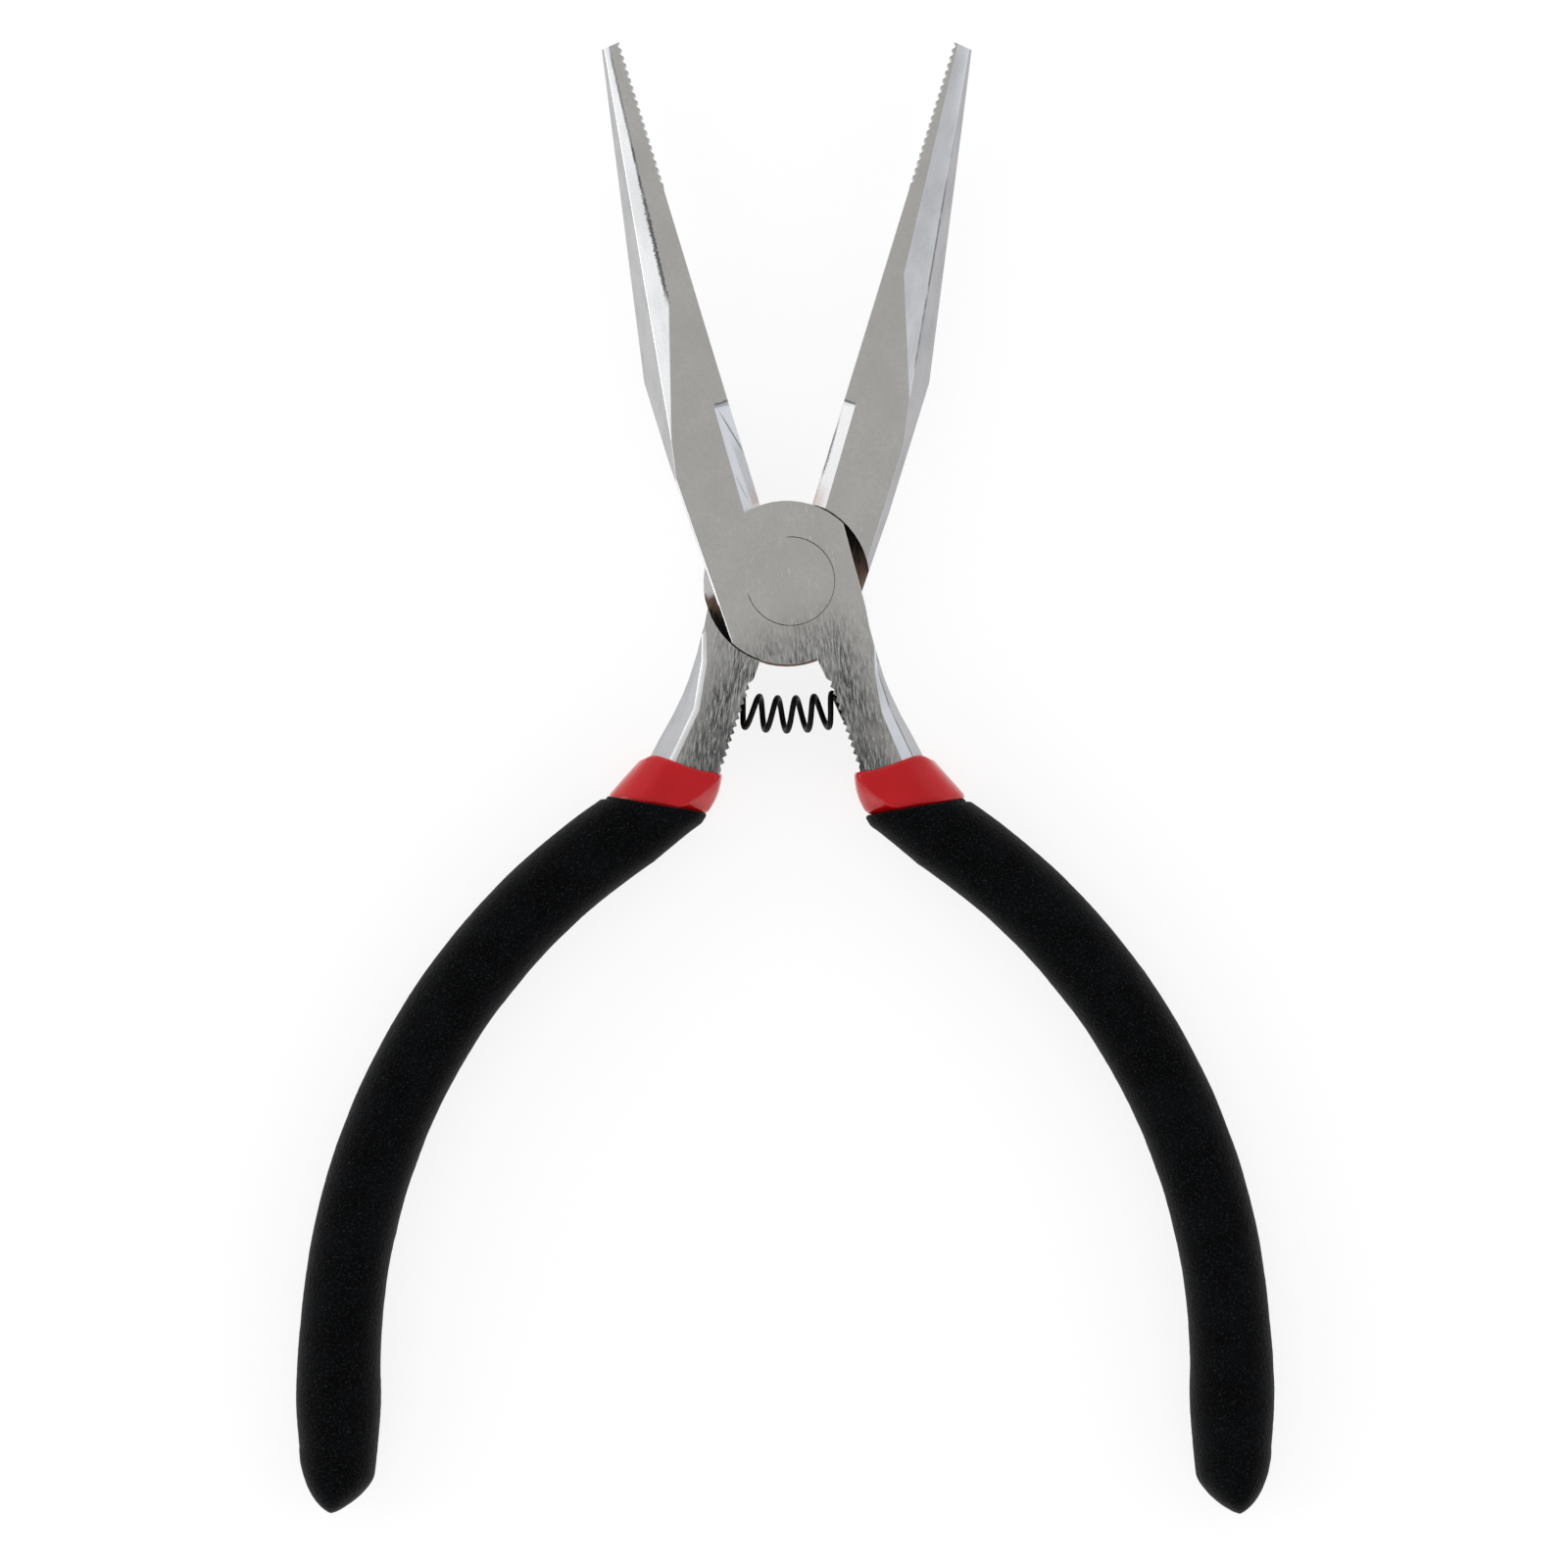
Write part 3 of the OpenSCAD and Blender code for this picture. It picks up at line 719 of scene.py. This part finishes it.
def steel_pieces():
    """The two forgings and the rivet."""
    # painted light and shade: each half's bevel and facet colours make the same steel lighter, darker
    # or bluer by how light falls on it
    front_tones_and_painted_light = {"bevel": ((0.82, 0.82, 0.825), (0.66, 0.68, 0.71)),
                   "gains": (1.0, 1.04),
                   "facet": ((0.50, 0.50, 0.50), (0.46, 0.465, 0.48))}
    back_tones_and_painted_light = {"bevel": ((0.73, 0.745, 0.775), (0.99, 0.99, 0.99)),
                  "gains": (1.25, 0.99),
                  "facet": ((0.43, 0.425, 0.44), (0.50, 0.505, 0.52))}
    scale = dark_oxide("joint_scale")
    front = steel_materials("front", False, front_tones_and_painted_light, scale)
    back = steel_materials("back", True, back_tones_and_painted_light, scale)
    forged_half("front_half", "front_forging", False, front)
    forged_half("back_half", "back_forging", True, back)
    rivet(front[FLAT], scale)


# ---------------------------------------------------------------- lofted soft pieces

def section(inner, outer, half_t, power_in, power_out, sides):
    """Ring from an inner to an outer edge point, flat on top by its power on each side."""
    middle, half = (inner + outer) / 2, (outer - inner) / 2
    ring = []
    for k in range(sides):
        turn = 2 * math.pi * k / sides
        c, s = math.cos(turn), math.sin(turn)
        power = power_out if c > 0 else power_in
        across = math.copysign(abs(c) ** (2 / power), c)
        up = math.copysign(abs(s) ** (2 / power), s)
        ring.append((across, Vector((*(middle + half * across), half_t * up))))
    return ring


def skin(rings):
    """Closed mesh through rings of points, with a cap on the first and the last."""
    bm = bmesh.new()
    made = [[bm.verts.new(p) for p in ring] for ring in rings]
    sides = len(made[0])
    for low, high in zip(made, made[1:]):
        for k in range(sides):
            bm.faces.new((low[k], low[(k + 1) % sides], high[(k + 1) % sides], high[k]))
    for ring in (made[0], made[-1]):
        centre = bm.verts.new(sum((v.co for v in ring), Vector()) / sides)
        for k in range(sides):
            bm.faces.new((ring[k], centre, ring[(k + 1) % sides]))
    bmesh.ops.recalc_face_normals(bm, faces=bm.faces)
    return bm


def grip_edges(f, shift):
    """Inner and outer edge points of a grip, from its slanted top (0) to where its tip starts (1)."""
    arc_in, top_in, end_in = BOW_IN
    arc_out, top_out, end_out = BOW_OUT
    a_in = top_in + f * (end_in - top_in)
    a_out = top_out + f * (end_out - top_out)
    # the edges leave their arcs near the top and the tip
    r_in = arc_in + 0.16 * max(a_in - 39.5, 0) + 0.53 * max(a_in - 45, 0) ** 2
    r_in += 0.019 * max(-18 - a_in, 0) ** 2
    r_out = arc_out + 0.45 * smoothstep(12, 22, -a_out)
    points = []
    for r, a in ((r_in, a_in), (r_out, a_out)):
        a = math.radians(a)
        points.append(BOW_C + (r + shift) * Vector((math.cos(a), math.sin(a))))
    return points


def grip_rings(shift):
    """Rings of a grip: a recess for the sleeve, the rounded rim, the bent length and the tip."""
    sides = 128
    # inset from the outside and depth below the rim, from the recess to the outside
    rim = ((1.2, 1.5), (0.62, 1.4), (0.5, 0.5), (0.46, 0.18), (0.36, 0.05),
           (0.24, 0.0), (0.12, 0.05), (0.03, 0.16), (0.0, 0.34))
    rings = []
    top_in, top_out = grip_edges(0, shift)
    across = (top_out - top_in).normalized()
    down = Vector((across.y, -across.x))
    for inset, depth in rim:
        inner = top_in + across * inset * 1.2 + down * depth
        outer = top_out - across * inset * 1.2 + down * depth
        ring = section(inner, outer, GRIP_HALF_T - inset, 2.6, 2.4, sides)
        rings.append([p for _, p in ring])
    # the length, from just below the rim
    first, lengthwise = 3, 330
    for i in range(first, lengthwise + 1):
        f = i / lengthwise
        inner, outer = grip_edges(f, shift)
        power_in, power_out = 2.6 - 0.3 * f, 2.4 - 0.1 * f
        ring = section(inner, outer, GRIP_HALF_T, power_in, power_out, sides)
        rings.append([p for _, p in ring])
    # the tip: its inner and outer edges curve together
    last_in, last_out = grip_edges(1, shift)
    tip = GRIP_TIP + Vector((shift, 0))
    pull_in, pull_out = last_in + Vector((-0.16, -1.4)), last_out + Vector((-0.56, -2.2))
    tip_pull_in, tip_pull_out = tip + Vector((-1.6, 0.95)), tip + Vector((2.4, 0.35))
    steps = 40
    for i in range(1, steps):
        t = i / steps
        inner = curve_at(last_in, pull_in, tip_pull_in, tip, t)
        outer = curve_at(last_out, pull_out, tip_pull_out, tip, t)
        half_t = GRIP_HALF_T * (1 - t**3) ** 0.5
        rings.append([p for _, p in section(inner, outer, half_t, 2.3, 2.3, sides)])
    return rings


def curve_at(start, start_pull, end_pull, end, t):
    """Point at a fraction of a Bezier curve."""
    s = 1 - t
    return s**3 * start + 3 * s * s * t * start_pull + 3 * s * t * t * end_pull + t**3 * end


def soften(bm, size, amount):
    """Moves each vertex along its normal by smooth noise, so that the skin isn't machine-true."""
    bm.normal_update()
    moves = []
    for v in bm.verts:
        moves.append(v.normal * amount * noise.fractal(v.co / size, 1.0, 2.0, 3))
    for v, move in zip(bm.verts, moves):
        v.co += move


def grip(side, back, shift, foam):
    """Foam grip, moved outwards from the handle's arc by a shift in millimetres."""
    bm = skin(grip_rings(shift))
    soften(bm, size=5.0, amount=0.05)
    soften(bm, size=0.7, amount=0.018)
    bm.transform(closed_frame(back))
    if back:
        bmesh.ops.recalc_face_normals(bm, faces=bm.faces)
    piece = finish_mesh(bm, side + "_foam_grip", [foam], sharp=70)
    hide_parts(side + "_grip")
    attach(piece, "back" if back else "front")


def sleeve_ring(t, inset, half_t, sides, top_x):
    """Ring of a sleeve at a fraction of the way from its wavy top edge to the grip's rim."""
    top_in, top_out = Vector((top_x, 0)), Vector((SLEEVE_OUT_X, 0))
    power_in = 8 - 4.0 * smoothstep(0.15, 1, t)
    power_out = 2.1 + 0.3 * t
    across = Vector((1, 0))
    base = section(top_in + across * inset, top_out - across * inset, half_t - inset,
                   power_in, power_out, sides)
    # the inner flank starts at a crease that moves outwards on its way down
    crease = -0.97 + 0.55 * t
    ring = []
    for u, p in base:
        s = (p.x - top_in.x) / (top_out.x - top_in.x)
        top = Vector((p.x, through(SLEEVE_TOP, u)))
        bottom = GRIP_TOP_IN.lerp(GRIP_TOP_OUT, s)
        place = top.lerp(bottom, t)
        bulge = -0.3 * math.sin(math.pi * min(t, 1)) * (1 - s)
        down_flank = max(crease - u, 0) / (crease + 1)
        sunk = 1 - 0.50 * smoothstep(0.0, 0.85, t) * down_flank
        ring.append(Vector((place.x + bulge, place.y, p.z * sunk)))
    return ring


def sleeve_rings(top_x):
    """Rings of a sleeve: its lip, and its length down into the grip's rim."""
    sides = 160
    # fraction down from the top edge and inset from the outside
    lip = ((0.22, 0.62), (0.06, 0.5), (0.015, 0.42), (-0.012, 0.3), (-0.012, 0.2),
           (0.01, 0.08), (0.04, 0.02))
    rings = []
    for t, inset in lip:
        rings.append(sleeve_ring(t, inset, SLEEVE_HALF_T, sides, top_x))
    steps = 44
    for i in range(1, steps + 1):
        t = 0.04 + i / steps * 1.04
        inset = 0.12 * smoothstep(0.9, 1.0, t) + 0.55 * smoothstep(0.99, 1.08, t)
        half_t = SLEEVE_HALF_T + 0.2 * smoothstep(0.2, 1, t)
        rings.append(sleeve_ring(t, inset, half_t, sides, top_x))
    return rings


def sleeve(side, back, top_x, vinyl):
    """Red collar; its inner top corner is at top_x in the closed frame."""
    bm = skin(sleeve_rings(top_x))
    soften(bm, size=3.0, amount=0.03)
    bm.transform(closed_frame(back))
    if back:
        bmesh.ops.recalc_face_normals(bm, faces=bm.faces)
    piece = finish_mesh(bm, side + "_vinyl_sleeve", [vinyl], sharp=70)
    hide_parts(side + "_sleeve")
    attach(piece, "back" if back else "front")


# ---------------------------------------------------------------- spring

def spring(wire):
    """Coil on an axis that bends from one seat's direction to the other's."""
    spring_d, wire_d, turns, length = 3.95, 0.6, 7, 14.0
    coil_r = (spring_d - wire_d) / 2
    bend_r = length / 2 / OPEN_HALF
    centre = Vector((0, (SEAT_Y + bend_r) / math.cos(OPEN_HALF), MID_Z / MM))
    per_turn, sides = 48, 14

    def wire_at(f):
        """The wire's middle at a fraction of its length, and the way out from the coil's axis."""
        a = (2 * f - 1) * OPEN_HALF
        t = math.pi + f * turns * 2 * math.pi
        down = Vector((math.sin(a), -math.cos(a), 0))
        out = down * math.cos(t) + Vector((0, 0, math.sin(t)))
        return centre + down * bend_r + out * coil_r, out

    rings = []
    count = turns * per_turn
    for i in range(count + 1):
        f = i / count
        middle, out = wire_at(f)
        ahead = (wire_at(f + 1e-4)[0] - wire_at(f - 1e-4)[0]).normalized()
        aside = ahead.cross(out).normalized()
        ring = []
        for j in range(sides):
            k = 2 * math.pi * j / sides
            ring.append(middle + (out * math.cos(k) + aside * math.sin(k)) * wire_d / 2)
        rings.append(ring)
    bm = skin(rings)
    bm.transform(Matrix.Scale(MM, 4))
    piece = finish_mesh(bm, "spring_coil", [wire], sharp=60)
    low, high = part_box("return_spring")
    middle = (low + high) / 2
    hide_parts("return_spring")
    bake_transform(piece)


# ---------------------------------------------------------------- studio

def floor():
    """Pale plate under the pliers."""
    bm = bmesh.new()
    bmesh.ops.create_grid(bm, x_segments=8, y_segments=8, size=2.0)
    bm.transform(Matrix.Translation((0, 0, FLOOR_Z)))
    mesh = bpy.data.meshes.new("pale_floor")
    bm.to_mesh(mesh)
    bm.free()
    mesh.materials.append(pale_floor())
    plate = bpy.data.objects.new("pale_floor", mesh)
    bpy.context.scene.collection.objects.link(plate)


def softbox(name, azimuth, elevation, size, radiance, colour):
    """Square lamp aimed at the pliers, of an even brightness."""
    aim, distance = Vector((0, -0.02, 0)), 0.9
    azimuth, elevation = math.radians(azimuth), math.radians(elevation)
    away = Vector((math.cos(azimuth) * math.cos(elevation), math.sin(azimuth) * math.cos(elevation),
                   math.sin(elevation)))
    lamp = bpy.data.lights.new(name, "AREA")
    lamp.shape = "SQUARE"
    lamp.size = size
    lamp.energy = math.pi * size * size * radiance
    lamp.color = colour
    holder = bpy.data.objects.new(name, lamp)
    holder.location = aim + away * distance
    holder.rotation_euler = away.to_track_quat("Z", "Y").to_euler()
    holder.visible_camera = False
    bpy.context.scene.collection.objects.link(holder)


def studio():
    """White tent: mid grey overhead, brighter towards the horizon, with a softbox on each side."""
    world = bpy.data.worlds.new("tent")
    bpy.context.scene.world = world
    world.use_nodes = True
    tree = world.node_tree
    direction = node(tree, "ShaderNodeTexCoord").outputs["Generated"]
    up = node(tree, "ShaderNodeSeparateXYZ", {0: direction}).outputs["Z"]
    colour = mix(tree, mask(tree, up, 0.93, 0.55), TENT_TOP, TENT_SIDE)
    tree.links.new(colour, tree.nodes["Background"].inputs["Color"])
    softbox("left_softbox", azimuth=180, elevation=13, size=0.45, radiance=2.4, colour=(1.0, 1.0, 1.0))
    softbox("right_softbox", azimuth=0, elevation=18, size=0.5, radiance=0.4, colour=(0.92, 0.96, 1.0))
    bpy.context.scene.view_settings.view_transform = "Standard"


def camera():
    """Straight down, framing a square at the height of the joint's middle."""
    framed, middle_x, middle_y = 160, -0.28, -20.5
    lens = bpy.data.cameras.new("overhead")
    lens.lens = 250
    lens.sensor_width = 36
    lens.clip_start = 0.01
    away = framed * lens.lens / lens.sensor_width
    holder = bpy.data.objects.new("overhead", lens)
    holder.location = (middle_x * MM, middle_y * MM, MID_Z + away * MM)
    bpy.context.scene.collection.objects.link(holder)
    bpy.context.scene.camera = holder


camera()
studio()
floor()
steel_pieces()
foam, vinyl = black_foam(), red_vinyl()
grip("right", back=False, shift=-0.15, foam=foam)
grip("left", back=True, shift=0.15, foam=foam)
sleeve("right", back=False, top_x=0.8, vinyl=vinyl)
sleeve("left", back=True, top_x=0.5, vinyl=vinyl)
spring(black_wire())
